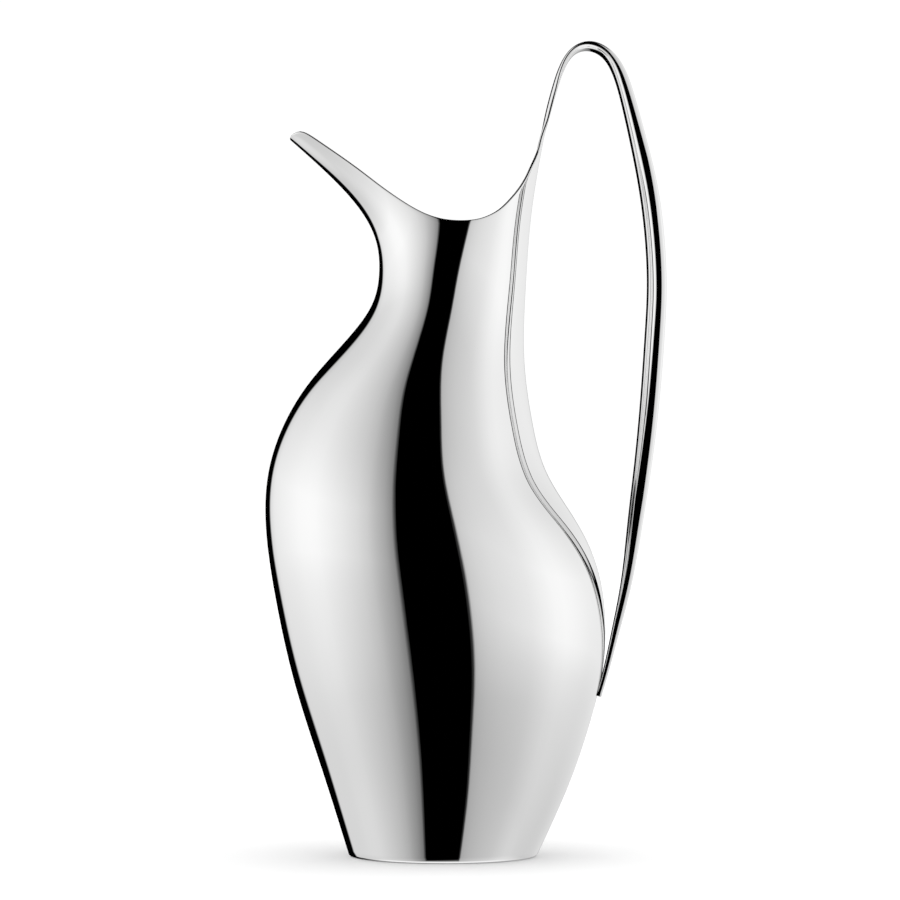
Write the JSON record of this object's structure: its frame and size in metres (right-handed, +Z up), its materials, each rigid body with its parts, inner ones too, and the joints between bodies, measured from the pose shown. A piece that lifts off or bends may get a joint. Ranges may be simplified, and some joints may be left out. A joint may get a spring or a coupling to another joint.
{
  "type": "water pitcher",
  "caption": "Free-standing silver water pitcher with a pear-shaped body, a long upswept open spout and a tall arched loop handle.",
  "frame": {"origin": "middle of the base, on the surface the pitcher stands on", "axes": "+Z up, the spout points towards -X, the handle is at +X, symmetric about the plane Y = 0"},
  "size_m": [0.1414, 0.0932, 0.2869],
  "materials": {
    "polished_silver": "polished",
    "base_silver": "satin"
  },
  "bodies": {
    "root": {"body_shell_left": "polished_silver", "body_shell_right": "polished_silver", "base_plate": "base_silver", "handle_root": "polished_silver", "handle_shell_left": "polished_silver", "handle_shell_right": "polished_silver", "handle_foot": "polished_silver"}
  },
  "joints": []
}
